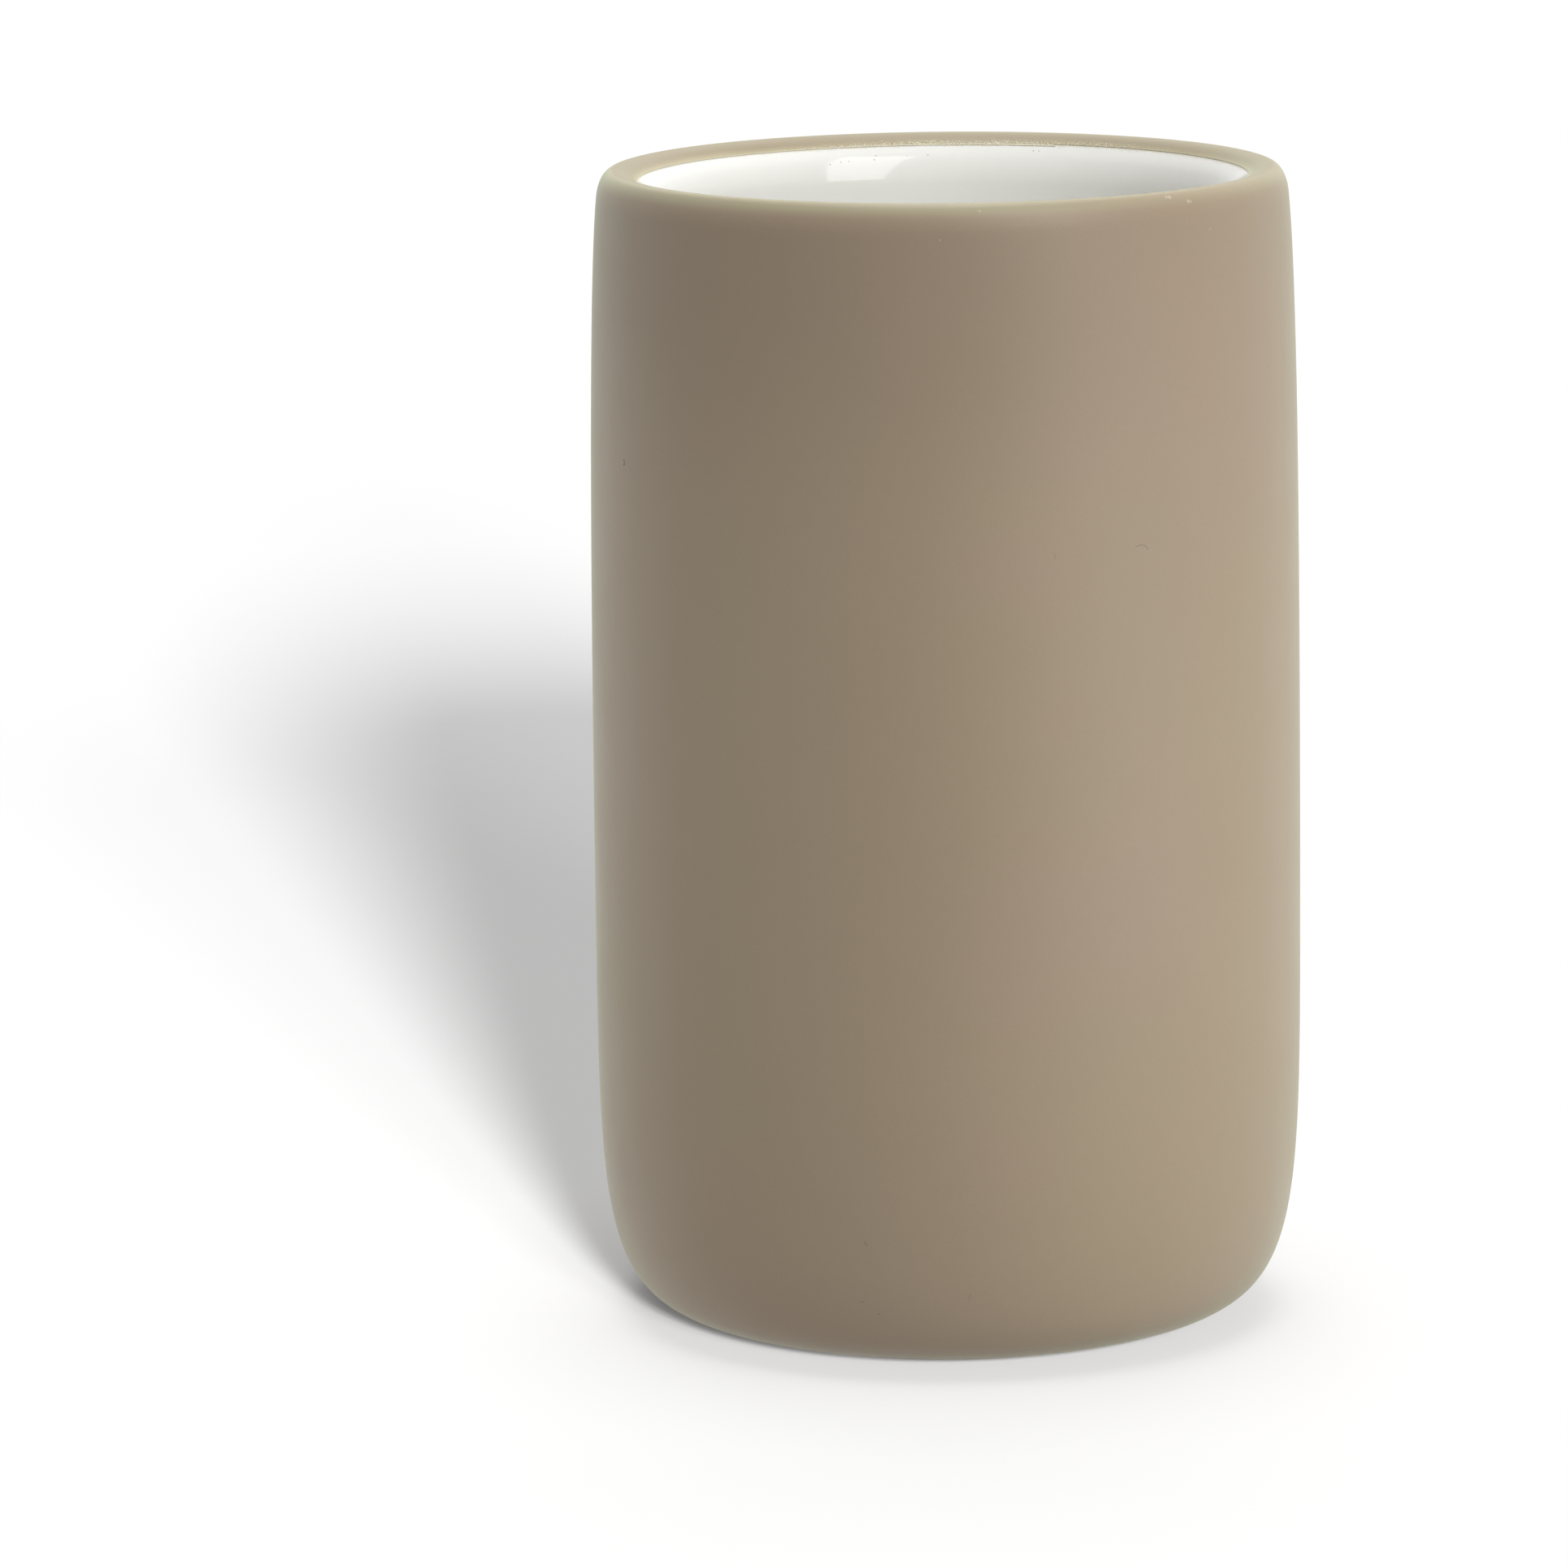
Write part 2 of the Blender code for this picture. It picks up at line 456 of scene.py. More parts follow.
class Finish:
    """A material under the brush."""

    def __init__(self, name, **constants):
        self.material = bpy.data.materials.new(name)
        self.material.use_nodes = True
        self.tree = self.material.node_tree
        self.shader = self.tree.nodes["Principled BSDF"]
        for socket, value in constants.items():
            self.shader.inputs[socket.replace("_", " ")].default_value = value
        self.place = self.node("ShaderNodeTexCoord", {}, {}, "Object")
        self.x, self.y, self.z = (
            self.node("ShaderNodeSeparateXYZ", {}, {0: self.place}, i) for i in range(3)
        )

    def node(self, kind, settings, sockets, output=0):
        """One node of a kind: its settings first, then the values or links of its sockets."""
        node = self.tree.nodes.new(kind)
        for setting, value in settings.items():
            setattr(node, setting, value)
        for socket, value in sockets.items():
            if isinstance(value, Sum):
                self.tree.links.new(value.socket, node.inputs[socket])
            else:
                node.inputs[socket].default_value = value
        return Sum(self, node.outputs[output])

    def colour(self, socket, value):
        """Drives a socket of the shader."""
        self.tree.links.new(value.socket, self.shader.inputs[socket])

    def radius(self):
        """Distance from the upright axis."""
        return (self.x * self.x + self.y * self.y) ** 0.5

    def noise(self, scale, detail, seed):
        """Soft noise about 0.5, with features of one over the scale."""
        place = self.node("ShaderNodeMapping", {}, {"Vector": self.place, "Location": (seed, seed, seed)})
        return self.node(
            "ShaderNodeTexNoise",
            {},
            {"Vector": place, "Scale": scale, "Detail": detail, "Roughness": 0.55},
        )

    def dots(self, scale, radius, share):
        """1 on round dots of a radius, in a share of the cells of a size of one over the scale."""
        cells = {"Vector": self.place, "Scale": scale, "Randomness": 0.9}
        distance = self.node("ShaderNodeTexVoronoi", {}, cells, "Distance")
        chance = self.node("ShaderNodeTexVoronoi", {}, cells, "Color")
        red = self.node("ShaderNodeSeparateColor", {}, {0: chance})
        chosen = red.between(1 - share, 1 - share + 0.01)
        return (1 - distance.between(0.4 * radius * scale, radius * scale)) * chosen

    def spot(self, place, radius):
        """1 within a radius of a place, both in mm."""
        centre, reach = Vector(place) / 1000, radius / 1000
        distance = self.node(
            "ShaderNodeVectorMath",
            {"operation": "DISTANCE"},
            {0: self.place, 1: centre},
            "Value",
        )
        return 1 - distance.between(0.45 * reach, reach)

    def along(self, direction, start):
        """Distance from a start, measured in a direction."""
        reach = self.node(
            "ShaderNodeVectorMath",
            {"operation": "DOT_PRODUCT"},
            {0: self.place, 1: direction},
            "Value",
        )
        return reach - start.dot(direction)

    def mix(self, share, below, above):
        """The colour below, covered by the one above by its share."""
        return self.node("ShaderNodeMix", {"data_type": "RGBA"}, {0: share, 6: below, 7: above}, 2)

    def scaled(self, colour, level):
        """A colour made lighter or darker by a level about 1."""
        return self.node("ShaderNodeVectorMath", {"operation": "SCALE"}, {0: colour, "Scale": level})

    def bump(self, *layers):
        """Relief of heights in metres, each with its own strength."""
        normal = None
        for height, strength in layers:
            sockets = {"Height": height, "Strength": strength, "Distance": 1.0}
            if normal:
                sockets["Normal"] = normal
            normal = self.node("ShaderNodeBump", {}, sockets)
        self.colour("Normal", normal)


def paint(colour):
    """A colour as a socket takes it."""
    return (*colour, 1)


def above_trim(finish, shape):
    """Height above the plane, a little out of level, on which the skin is trimmed inside the lip."""
    return finish.z - finish.x * math.tan(shape.edge_tilt) - (shape.height - shape.edge_drop)


def above_edge(finish, shape):
    """Height above the sprayed edge, which wavers about that plane."""
    ripple = (finish.noise(260, 1, 0.3) - 0.5) * 0.00014 + (finish.noise(45, 1, 0.6) - 0.5) * 0.00030
    return above_trim(finish, shape) + ripple


def fibre(finish, place, lean, reach, width, bow):
    """1 on a short bowed fibre that lies on the wall at a place."""
    start = Vector(place) / 1000
    out = Vector((start.x, start.y, 0)).normalized()
    side = Vector((-out.y, out.x, 0))
    turn = Matrix.Rotation(math.radians(-lean), 3, out)
    u = finish.along(turn @ side, start)
    v = finish.along(turn @ Vector((0, 0, 1)), start) + u * u * (bow / reach**2 * 1000)
    near = finish.along(out, start).between(-0.004, -0.003)
    ends = 1 - abs(u).between(0.0006 * reach, 0.001 * reach)
    return ends * (1 - abs(v).between(0.0003 * width, 0.0012 * width)) * near


def most_of(masks):
    """The strongest of several masks at each place."""
    strongest, *rest = masks
    for mask in rest:
        strongest = strongest.most(mask)
    return strongest


def skin_finish(shape, looks):
    """Soft rubbery lacquer: silky, faintly clouded, grainy where it was masked."""
    skin = Finish(
        "soft_touch_lacquer",
        Sheen_Weight=0.26,
        Sheen_Roughness=0.34,
        Sheen_Tint=(0.78, 1, 0.70, 1),
        Specular_IOR_Level=0.5,
    )
    clouds = skin.noise(24, 2, 0.7).between(0.35, 0.65)
    colour = skin.mix(clouds, paint(looks.skin_warm), paint(looks.skin_cool))
    tone = (skin.noise(70, 3, 0.2) - 0.5) * 0.05 + (skin.noise(3600, 2, 0.5) - 0.5) * 0.07 + 1
    colour = skin.scaled(colour, tone)

    # Painted shade darkening the upper wall under the lip, mostly on the left
    radius = skin.radius()
    painted_upper_shade = skin.z.between(0.085, 0.112) * (1 - skin.z.between(shape.height - 0.0035, shape.height - 0.001))
    colour = skin.scaled(colour, 1 - painted_upper_shade * (1 - skin.x.between(0.004, 0.022)) * 0.11)
    # Painted highlight on the outer crest of the lip, paler and greener and fainter to the right, and
    # painted shade on the inner crest, darker and olive
    crest = skin.z.between(shape.height - 0.0016, shape.height - 0.0005)
    outside_lip = radius.between(0.0337, 0.0342)
    fainter_right = 1 - skin.x.between(0.004, 0.026) * 0.6
    colour = skin.mix(crest * outside_lip * fainter_right * 0.44, colour, paint(looks.lip_painted_highlight))
    colour = skin.mix(crest * (1 - outside_lip) * 0.34, colour, CREST_PAINTED_SHADE)

    # Thin, speckled skin with a pale hem along the masked edge
    in_mouth = 1 - radius.between(0.0326, 0.0335)
    at_lip = skin.z.between(shape.height - 0.006, shape.height - 0.004)
    near_edge = (1 - above_edge(skin, shape).between(0, 0.0008)) * in_mouth * at_lip
    thin = near_edge * near_edge
    colour = skin.mix(thin * 0.55, colour, paint(looks.overspray))
    speckled = skin.x.between(-0.022, -0.006) * (1 - skin.x.between(0.018, 0.026)) * near_edge
    grain = (skin.noise(6600, 2, 0.9) + thin * 0.10).between(0.58, 0.66) * speckled
    colour = skin.mix(grain * 0.7, colour, paint(looks.overspray_pale))
    pits = (skin.noise(5600, 2, 0.3) + thin * 0.08).between(0.60, 0.66) * speckled
    colour = skin.mix(pits * 0.6, colour, PIT_BROWN)
    hem = (1 - above_trim(skin, shape).between(0.00001, 0.00008)) * in_mouth * at_lip
    colour = skin.mix(hem * 0.5, colour, paint(looks.overspray_pale))

    dark = most_of([fibre(skin, *mark[:-1]) * mark[-1] for mark in FIBRES])
    colour = skin.mix(dark, colour, FIBRE_BROWN)
    pale = most_of([skin.spot(*chip) for chip in CHIPS])
    colour = skin.mix(pale * 0.28, colour, CHIP_CREAM)
    dust = skin.dots(70, 0.00010, 0.16)
    colour = skin.mix(dust * 0.30, colour, DUST_CREAM)
    skin.colour("Base Color", colour)

    skin.colour("Roughness", (skin.noise(120, 2, 0.1) - 0.5) * 0.10 + looks.skin_roughness)
    skin.bump(
        (skin.noise(170, 2, 0.4) * 0.00010, 0.35),
        (skin.noise(3200, 2, 0.6) * 0.00002 + grain * 0.00002 - pits * 0.00002, 0.5),
        (skin.spot(*PIMPLE) * 0.00012, 1.0),
    )
    return skin.material


def lining_finish(shape, looks):
    """Warm white gloss glaze, with pinholes and a dusting of skin at the masked edge."""
    glaze = Finish("white_gloss_glaze", IOR=1.55)
    pooled = (1 - glaze.z.between(shape.floor_height + 0.001, 0.030)) * 0.7
    cloud = glaze.noise(30, 2, 0.8).between(0.40, 0.75) * 0.25
    colour = glaze.mix(pooled.most(cloud), paint(looks.glaze_colour), paint(looks.glaze_pooled))
    colour = glaze.scaled(colour, (glaze.noise(900, 2, 0.2) - 0.5) * 0.015 + 1)

    below = -1 * above_edge(glaze, shape)
    cover = glaze.noise(5200, 2, 0.3) + 0.18 - below * 1200
    spray = cover.between(0.50, 0.60)
    colour = glaze.mix(spray * 0.85, colour, paint(looks.overspray_pale))
    droplets = glaze.dots(1500, 0.00007, 0.06) * (1 - below.between(0.0004, 0.0016))
    colour = glaze.mix(droplets * 0.5, colour, DROPLET_TAN)

    holes = most_of([glaze.spot(*hole) for hole in PINHOLES])
    holes = holes.most(glaze.dots(85, 0.00011, 0.10))
    colour = glaze.mix(holes * 0.45, colour, PINHOLE_BROWN)
    glaze.colour("Base Color", colour)

    rough = spray.most(holes) * 0.45
    glaze.colour("Roughness", rough + looks.glaze_roughness + (glaze.noise(400, 2, 0.6) - 0.5) * 0.03)
    glaze.bump(
        (glaze.noise(60, 1, 0.1) * 0.0003, 0.10),
        (spray * glaze.noise(4300, 1, 0.3) * 0.00010 - holes * 0.00008, 0.6),
    )
    return glaze.material


def clay_finish(shape, looks):
    """Fired clay, sanded on the flat of the foot ring and sponged in the recess."""
    clay = Finish("bare_fired_clay", Specular_IOR_Level=0.3)
    toast = clay.noise(45, 3, 0.4).between(0.35, 0.75) * 0.22
    colour = clay.mix(toast, paint(looks.clay_colour), paint(looks.clay_dark))
    grain = clay.noise(2600, 3, 0.2)
    colour = clay.scaled(colour, (grain - 0.5) * 0.28 + (clay.noise(420, 2, 0.9) - 0.5) * 0.12 + 1)
    iron = clay.dots(420, 0.00022, 0.16).most(clay.dots(900, 0.00012, 0.12))
    colour = clay.mix(iron * 0.7, colour, paint(looks.clay_dark))

    sanded = 1 - clay.z.between(0.00002, 0.00025)
    colour = clay.mix(sanded * 0.35, colour, SANDED_CLAY)
    clay.colour("Base Color", colour)
    clay.colour("Roughness", (grain - 0.5) * 0.15 + 0.86 - sanded * 0.18)

    wiped = clay.node(
        "ShaderNodeTexNoise",
        {"noise_dimensions": "1D"},
        {"W": clay.radius(), "Scale": 900.0, "Detail": 2.0},
    )
    clay.bump(
        (wiped * 0.00007, 0.6),
        (grain * 0.00010 - iron * 0.00006, 0.6),
    )
    return clay.material


# Wall line


def run(start, start_pull, end_pull, end, steps):
    """Points of one curve of the line, without its last."""
    return interpolate_bezier(start, start_pull, end_pull, end, steps + 1)[:-1]


def outside_line(shape):
    """Radius and height from the skin's lower edge up the outside to the crest of the lip."""
    foot = Vector((shape.foot_radius, shape.foot_lift))
    belly = Vector((shape.belly_radius, shape.belly_height))
    shoulder = Vector((shape.mouth_radius, shape.height - shape.lip_outer_drop))
    lean = Vector((-math.tan(shape.mouth_lean), 1))
    crest = Vector((shape.mouth_radius - shape.lip_outer_width, shape.height))
    line = run(
        foot,
        foot + Vector((shape.foot_pull, 0)),
        belly - Vector((0, shape.corner_pull)),
        belly,
        44,
    )
    line += run(
        belly,
        belly + Vector((0, shape.belly_pull)),
        shoulder - lean * shape.mouth_pull,
        shoulder,
        26,
    )
    line += run(
        shoulder,
        shoulder + lean * (ROUND * shape.lip_outer_drop),
        crest + Vector((ROUND * shape.lip_outer_width, 0)),
        crest,
        14,
    )
    return line


def inside_line(shape):
    """Radius and height from the crest of the lip down the inside, nearly to the axis."""
    crest = Vector((shape.mouth_radius - shape.lip_outer_width, shape.height))
    throat = crest - Vector((shape.lip_inner_width, shape.lip_inner_drop))
    belly = Vector((shape.belly_radius - shape.belly_wall, shape.belly_height))
    flat = Vector((shape.floor_flat, shape.floor_height))
    line = run(
        crest,
        crest - Vector((ROUND * shape.lip_inner_width, 0)),
        throat + Vector((0, ROUND * shape.lip_inner_drop)),
        throat,
        28,
    )
    line += run(
        throat,
        throat - Vector((0, shape.mouth_pull)),
        belly + Vector((0, shape.belly_pull)),
        belly,
        22,
    )
    line += run(
        belly,
        belly - Vector((0, shape.inner_corner_pull)),
        flat + Vector((shape.floor_pull, 0)),
        flat,
        34,
    )
    return line + to_axis(flat)


def to_axis(rim):
    """Points of a level disc, from its rim nearly to the axis."""
    return [Vector((rim.x * share, rim.y)) for share in (1, 0.8, 0.6, 0.4, 0.2, 0.06)]


def sunk(line, depths):
    """The line moved into the wall, by a depth for each point."""
    moved = []
    for i, point in enumerate(line):
        way = (line[min(i + 1, len(line) - 1)] - line[max(i - 1, 0)]).normalized()
        moved.append(point + Vector((-way.y, way.x)) * depths[i])
    return moved


def foot_line(shape, top):
    """Radius and height from under the skin round the bare ring and across the recess."""
    edge = 0.0006
    fillet = 0.0013
    outer = shape.foot_radius - shape.skin_thickness - CLAY_GAP
    inner = outer - shape.ring_width
    ceiling = shape.recess_depth
    line = [Vector((outer, top))]
    line += run(
        Vector((outer, edge)),
        Vector((outer, edge - ROUND * edge)),
        Vector((outer - edge + ROUND * edge, 0)),
        Vector((outer - edge, 0)),
        8,
    )
    flat = shape.ring_width - 2 * edge
    line += [Vector((outer - edge - share * flat, 0)) for share in (0, 0.25, 0.5, 0.75)]
    line += run(
        Vector((inner + edge, 0)),
        Vector((inner + edge - ROUND * edge, 0)),
        Vector((inner, edge - ROUND * edge)),
        Vector((inner, edge)),
        8,
    )
    line += run(
        Vector((inner, ceiling - fillet)),
        Vector((inner, ceiling - fillet + ROUND * fillet)),
        Vector((inner - fillet + ROUND * fillet, ceiling)),
        Vector((inner - fillet, ceiling)),
        10,
    )
    return line + to_axis(Vector((inner - fillet, ceiling)))


# Modelling by operators


def select_where(test):
    """Selects the faces of the edited mesh whose centres pass a test."""
    bpy.ops.mesh.select_mode(type="FACE")
    bpy.ops.mesh.select_all(action="DESELECT")
    mesh = bpy.context.edit_object.data
    bm = bmesh.from_edit_mesh(mesh)
    place = bpy.context.edit_object.matrix_world
    for face in bm.faces:
        face.select_set(test(place @ face.calc_center_median()))
    bmesh.update_edit_mesh(mesh)


def raise_rings(name, line, around):
    """A wall raised from a circle, ring by ring, through radii and heights. It is left in edit mode."""
    bpy.ops.object.select_all(action="DESELECT")
    radius, height = line[0]
    bpy.ops.mesh.primitive_circle_add(vertices=around, radius=radius, location=(0, 0, height))
    piece = bpy.context.object
    piece.name = piece.data.name = name
    bpy.ops.object.mode_set(mode="EDIT")
    for next_radius, next_height in line[1:]:
        step = (0, 0, next_height - height)
        bpy.ops.mesh.extrude_edges_move(TRANSFORM_OT_translate={"value": step})
        growth = next_radius / radius
        bpy.ops.transform.resize(value=(growth, growth, 1), center_override=(0, 0, next_height))
        radius, height = next_radius, next_height
    return piece


def close_poles():
    """Draws every open ring of the edited mesh together at its middle."""
    bpy.ops.mesh.select_mode(type="VERT")
    bpy.ops.mesh.select_all(action="DESELECT")
    bpy.ops.mesh.select_non_manifold(
        extend=False,
        use_wire=False,
        use_boundary=True,
        use_multi_face=False,
        use_non_contiguous=False,
        use_verts=False,
    )
    bpy.ops.mesh.merge(type="COLLAPSE")


def turn_faces(test, outward):
    """Turns the edited mesh's faces so that one that passes a test looks away from the axis, or to it."""
    bpy.ops.mesh.select_mode(type="FACE")
    bpy.ops.mesh.select_all(action="SELECT")
    bpy.ops.mesh.normals_make_consistent(inside=False)
    bm = bmesh.from_edit_mesh(bpy.context.edit_object.data)
    probe = next(face for face in bm.faces if test(face))
    centre = probe.calc_center_median()
    away = probe.normal.x * centre.x + probe.normal.y * centre.y > 0
    if away != outward:
        bpy.ops.mesh.flip_normals()


def thicken(piece, thickness):
    """Gives an open skin its thickness behind its face."""
    bpy.ops.object.modifier_add(type="SOLIDIFY")
    solid = piece.modifiers[-1]
    solid.thickness = thickness
    solid.offset = -1
    solid.use_even_offset = True
    bpy.ops.object.modifier_apply(modifier=solid.name)


def finish_piece(piece, material, node):
    """Puts the piece's place in its mesh, smooths it, and seats it for a CAD node."""
    bpy.ops.object.transform_apply(location=True, rotation=True, scale=True)
    bpy.ops.object.shade_smooth_by_angle(angle=SMOOTH_ANGLE)
    piece.data.materials.append(material)
    lowest, highest = CAD_BOX
    spare = 0.00005
    for vertex in piece.data.vertices:
        if not all(lowest[i] - spare <= vertex.co[i] <= highest[i] + spare for i in range(3)):
            raise RuntimeError(f"{piece.name} leaves the cup's box at {vertex.co[:]}")
    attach(piece, "root")
    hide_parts(node)


class TUMBLER_OT_clay_body(bpy.types.Operator):
    """Raise the clay body with its foot ring under the two skins"""

    bl_idname = "tumbler.clay_body"
    bl_label = "Raise the clay body"

    def execute(self, context):
        shape, looks = context.scene.tumbler_shape, context.scene.tumbler_looks
        under_skin = shape.skin_thickness + CLAY_GAP
        under_glaze = shape.glaze_thickness + CLAY_GAP
        outside, inside = outside_line(shape), inside_line(shape)
        depths = [under_skin] * len(outside) + [under_glaze] * len(inside)
        wall = sunk(outside + inside, depths)
        line = wall[::-1] + foot_line(shape, wall[0].y)
        piece = raise_rings("clay_body", line, shape.around)
        bpy.ops.mesh.merge(type="CENTER")
        close_poles()
        bpy.ops.mesh.select_all(action="SELECT")
        bpy.ops.mesh.normals_make_consistent(inside=False)
        bpy.ops.object.mode_set(mode="OBJECT")
        finish_piece(piece, clay_finish(shape, looks), "stoneware_body")
        return {"FINISHED"}


class TUMBLER_OT_gloss_lining(bpy.types.Operator):
    """Raise the gloss lining from under the skin's edge down to the floor"""

    bl_idname = "tumbler.gloss_lining"
    bl_label = "Pour the gloss lining"

    def execute(self, context):
        shape, looks = context.scene.tumbler_shape, context.scene.tumbler_looks
        top = shape.height - shape.edge_drop
        line = [point for point in inside_line(shape) if point.y < top + PAST_EDGE]
        # Flush with the wall line below, then sinking over a millimetre to lie under the
        # skin before the lowest place of its edge
        under_skin = shape.skin_thickness + LINING_GAP
        slip = math.tan(shape.edge_tilt) * shape.mouth_radius
        start, reach = top - slip - 0.0012, 0.0010
        depths = [under_skin * min(max((point.y - start) / reach, 0), 1) for point in line]
        piece = raise_rings("gloss_lining", sunk(line, depths), shape.around)
        bpy.ops.mesh.merge(type="CENTER")
        turn_faces(lambda face: abs(face.normal.z) < 0.5, outward=False)
        bpy.ops.object.mode_set(mode="OBJECT")
        thicken(piece, shape.glaze_thickness - under_skin)
        finish_piece(piece, lining_finish(shape, looks), "glaze_lining")
        return {"FINISHED"}


class TUMBLER_OT_soft_skin(bpy.types.Operator):
    """Raise the soft skin over the outside and the lip, and trim it along its masked edge"""

    bl_idname = "tumbler.soft_skin"
    bl_label = "Spray the soft skin"

    def execute(self, context):
        shape, looks = context.scene.tumbler_shape, context.scene.tumbler_looks
        top = shape.height - shape.edge_drop
        inside = [point for point in inside_line(shape) if point.y > top - PAST_EDGE]
        piece = raise_rings("soft_skin", outside_line(shape) + inside, shape.around)
        # Only the rings inside the crest are trimmed
        crest = shape.mouth_radius - shape.lip_outer_width
        select_where(lambda centre: centre.xy.length < crest - 0.0002 and centre.z > top - 0.002)
        bpy.ops.mesh.bisect(
            plane_co=(0, 0, top),
            plane_no=(-math.sin(shape.edge_tilt), 0, math.cos(shape.edge_tilt)),
            clear_inner=True,
            clear_outer=False,
            use_fill=False,
        )
        turn_faces(lambda face: abs(face.normal.z) < 0.1, outward=True)
        bpy.ops.object.mode_set(mode="OBJECT")
        thicken(piece, shape.skin_thickness)
        finish_piece(piece, skin_finish(shape, looks), "soft_touch_coat")
        return {"FINISHED"}


# Stage


def point_at_cup(turn, rise, distance):
    """Place and rotation of a lamp at a turn to the right of the front, a rise and a distance."""
    out = Vector((math.sin(turn) * math.cos(rise), -math.cos(turn) * math.cos(rise), math.sin(rise)))
    centre = Vector((0, 0, 0.06))
    return centre + out * distance, out.to_track_quat("Z", "Y").to_euler()


def add_panel(name, turn, rise, distance, width, height, radiance, only):
    """A plain soft panel lamp that lights only the things of a collection."""
    place, rotation = point_at_cup(math.radians(turn), math.radians(rise), distance)
    bpy.ops.object.light_add(type="AREA", location=place, rotation=rotation)
    lamp = bpy.context.object
    lamp.name = name
    lamp.data.shape = "RECTANGLE"
    lamp.data.size = width
    lamp.data.size_y = height
    lamp.data.energy = radiance * math.pi * width * height
    lamp.visible_camera = False
    lamp.light_linking.receiver_collection = only
    return lamp


def add_sun(name, turn, rise, breadth, level, only):
    """A far lamp that adds a level of light on the floor."""
    place, rotation = point_at_cup(math.radians(turn), math.radians(rise), 3)
    bpy.ops.object.light_add(type="SUN", location=place, rotation=rotation)
    lamp = bpy.context.object
    lamp.name = name
    lamp.data.angle = math.radians(breadth)
    lamp.data.energy = level * math.pi / math.sin(math.radians(rise))
    lamp.light_linking.receiver_collection = only


def seen_directly(tree):
    """The output of a node tree that is 1 for what the camera, a reflection or glass sees."""
    rays = tree.nodes.new("ShaderNodeLightPath")
    seen = rays.outputs["Is Camera Ray"]
    for kind in ("Is Glossy Ray", "Is Transmission Ray"):
        most = tree.nodes.new("ShaderNodeMath")
        most.operation = "MAXIMUM"
        tree.links.new(seen, most.inputs[0])
        tree.links.new(rays.outputs[kind], most.inputs[1])
        seen = most.outputs[0]
    return seen


def lay_floor(stage):
    """A plain pale floor that throws less light on the cup than the camera sees on it, with a painted pool
    of light round the foot.
    """
    bpy.ops.mesh.primitive_plane_add(size=16, location=(0, 0, -0.00002))
    floor = bpy.context.object
    floor.name = floor.data.name = "floor"
    pale = Finish("pale_floor", Roughness=1.0, Specular_IOR_Level=0.0)
    shade, near, far = (
        paint([stage.floor_shade * share] * 3) for share in (1, stage.painted_pool_bounce, stage.floor_bounce)
    )
    # Painted light: to the cup the floor is paler within 3 to 8 cm of the axis, a painted pool of light
    # round the foot
    away = pale.radius().between(0.03, 0.08)
    seen = Sum(pale, seen_directly(pale.tree))
    pale.colour("Base Color", pale.mix(seen, pale.mix(away, near, far), shade))
    pale.colour("Emission Color", pale.mix(seen, (0, 0, 0, 1), (1, 1, 1, 1)))
    pale.shader.inputs["Emission Strength"].default_value = stage.floor_glow
    floor.data.materials.append(pale.material)
    return floor


def hang_lamps(stage, floor):
    """Soft panels that light the cup, and far lamps that draw its shadow on the floor."""
    floor_only = bpy.data.collections.new("lit_floor")
    floor_only.objects.link(floor)
    cup_only = bpy.data.collections.new("lit_cup")
    for name in ("clay_body", "gloss_lining", "soft_skin"):
        cup_only.objects.link(bpy.data.objects[name])

    add_panel("softbox", 35.6, 34, 1.0, 0.46, 1.0, stage.box_light, cup_only)
    add_panel("top_panel", 180, 80, 1.0, 0.50, 0.50, stage.top_light, cup_only)
    for panel in PANELS:
        add_panel(*panel, cup_only).visible_glossy = False
    for lamps, light in ((LOW_LAMPS, stage.low_light), (HIGH_LAMPS, stage.high_light)):
        level = light / stage.floor_shade
        for name, turn, rise, breadth, share in lamps:
            add_sun(name, turn, rise, breadth, share * level, floor_only)


def light_room(scene, stage):
    """A dim plain room, which the camera and reflections see as white."""
    world = bpy.data.worlds.new("plain_room")
    scene.world = world
    world.use_nodes = True
    tree = world.node_tree
    tree.nodes.clear()
    around, white = (tree.nodes.new("ShaderNodeBackground") for _ in range(2))
    around.inputs["Color"].default_value = white.inputs["Color"].default_value = (1, 1, 1, 1)
    around.inputs["Strength"].default_value = stage.around_light
    white.inputs["Strength"].default_value = 1
    either = tree.nodes.new("ShaderNodeMixShader")
    tree.links.new(seen_directly(tree), either.inputs[0])
    tree.links.new(around.outputs[0], either.inputs[1])
    tree.links.new(white.outputs[0], either.inputs[2])
    tree.links.new(either.outputs[0], tree.nodes.new("ShaderNodeOutputWorld").inputs["Surface"])


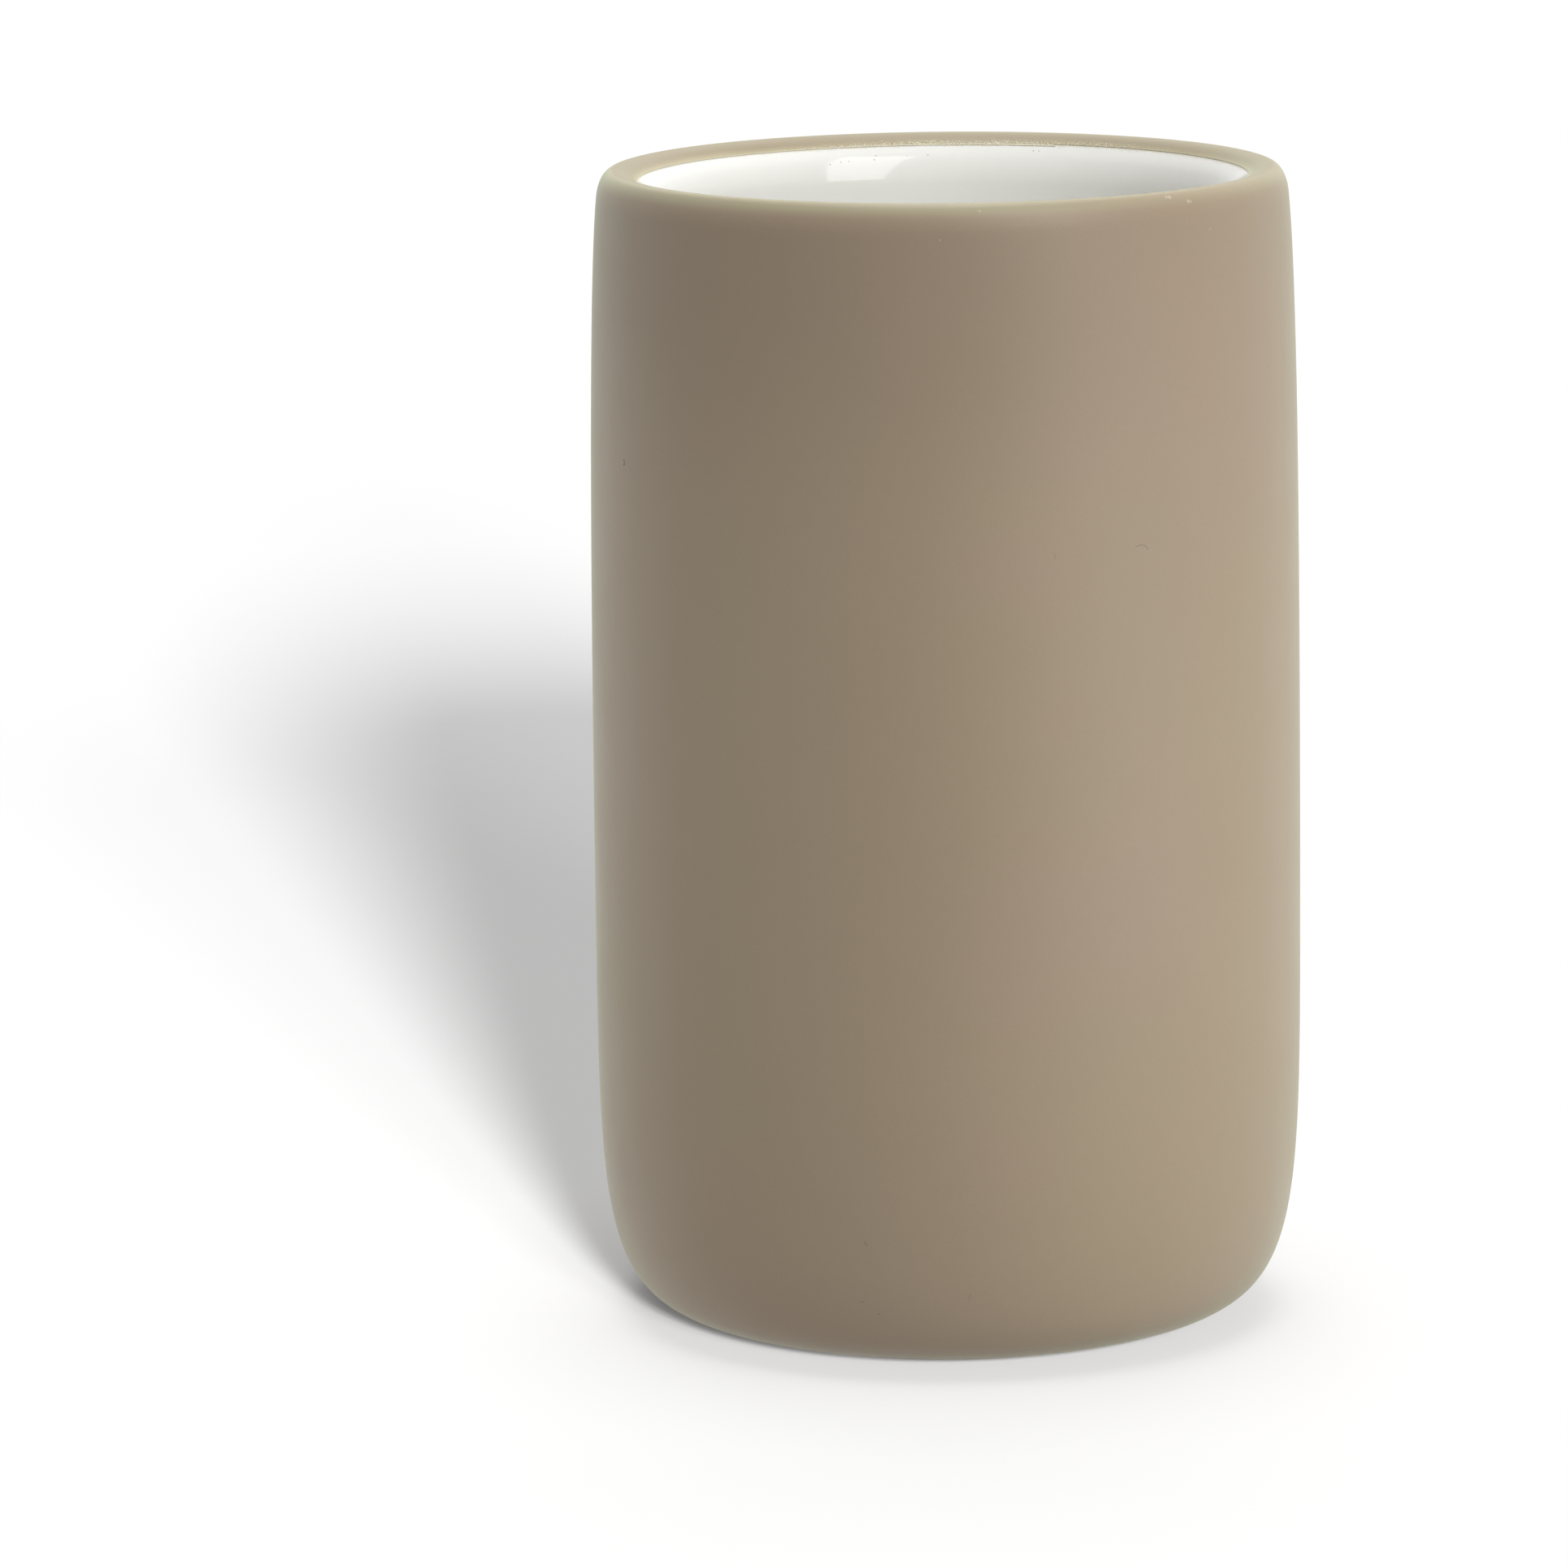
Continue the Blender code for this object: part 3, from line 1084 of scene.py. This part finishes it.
def place_camera(scene, stage):
    """The camera where the photograph was taken."""
    bpy.ops.object.camera_add(location=(0, -stage.camera_back, stage.camera_height))
    camera = bpy.context.object
    turn = (
        Matrix.Rotation(-stage.camera_yaw, 3, "Z")
        @ Matrix.Rotation(math.radians(90) - stage.camera_pitch, 3, "X")
        @ Matrix.Rotation(stage.camera_roll, 3, "Z")
    )
    camera.rotation_euler = turn.to_euler()
    camera.data.sensor_width = 36
    camera.data.lens = camera.data.sensor_width * stage.focal_pixels / PHOTO_PIXELS
    camera.data.clip_end = 40
    scene.camera = camera
    scene.view_settings.view_transform = "Standard"


class TUMBLER_OT_stage(bpy.types.Operator):
    """Set the plain pale floor, the soft lamps and the camera"""

    bl_idname = "tumbler.stage"
    bl_label = "Set the stage"

    def execute(self, context):
        scene, stage = context.scene, context.scene.tumbler_stage
        bpy.ops.object.select_all(action="DESELECT")
        floor = lay_floor(stage)
        hang_lamps(stage, floor)
        light_room(scene, stage)
        place_camera(scene, stage)
        return {"FINISHED"}


class VIEW3D_PT_tumbler(bpy.types.Panel):
    """The steps of the tumbler in the sidebar"""

    bl_label = "Toothbrush tumbler"
    bl_space_type = "VIEW_3D"
    bl_region_type = "UI"
    bl_category = "Tumbler"

    def draw(self, context):
        for step in STEPS:
            self.layout.operator(step.bl_idname)


GROUPS = (TumblerShape, TumblerLooks, TumblerStage)
STEPS = (TUMBLER_OT_clay_body, TUMBLER_OT_gloss_lining, TUMBLER_OT_soft_skin, TUMBLER_OT_stage)


def register():
    for group in (*GROUPS, *STEPS, VIEW3D_PT_tumbler):
        bpy.utils.register_class(group)
    bpy.types.Scene.tumbler_shape = PointerProperty(type=TumblerShape)
    bpy.types.Scene.tumbler_looks = PointerProperty(type=TumblerLooks)
    bpy.types.Scene.tumbler_stage = PointerProperty(type=TumblerStage)


def unregister():
    del bpy.types.Scene.tumbler_stage
    del bpy.types.Scene.tumbler_looks
    del bpy.types.Scene.tumbler_shape
    for group in reversed((*GROUPS, *STEPS, VIEW3D_PT_tumbler)):
        bpy.utils.unregister_class(group)


def main():
    register()
    bpy.ops.tumbler.clay_body()
    bpy.ops.tumbler.gloss_lining()
    bpy.ops.tumbler.soft_skin()
    bpy.ops.tumbler.stage()


if __name__ == "__main__":
    main()
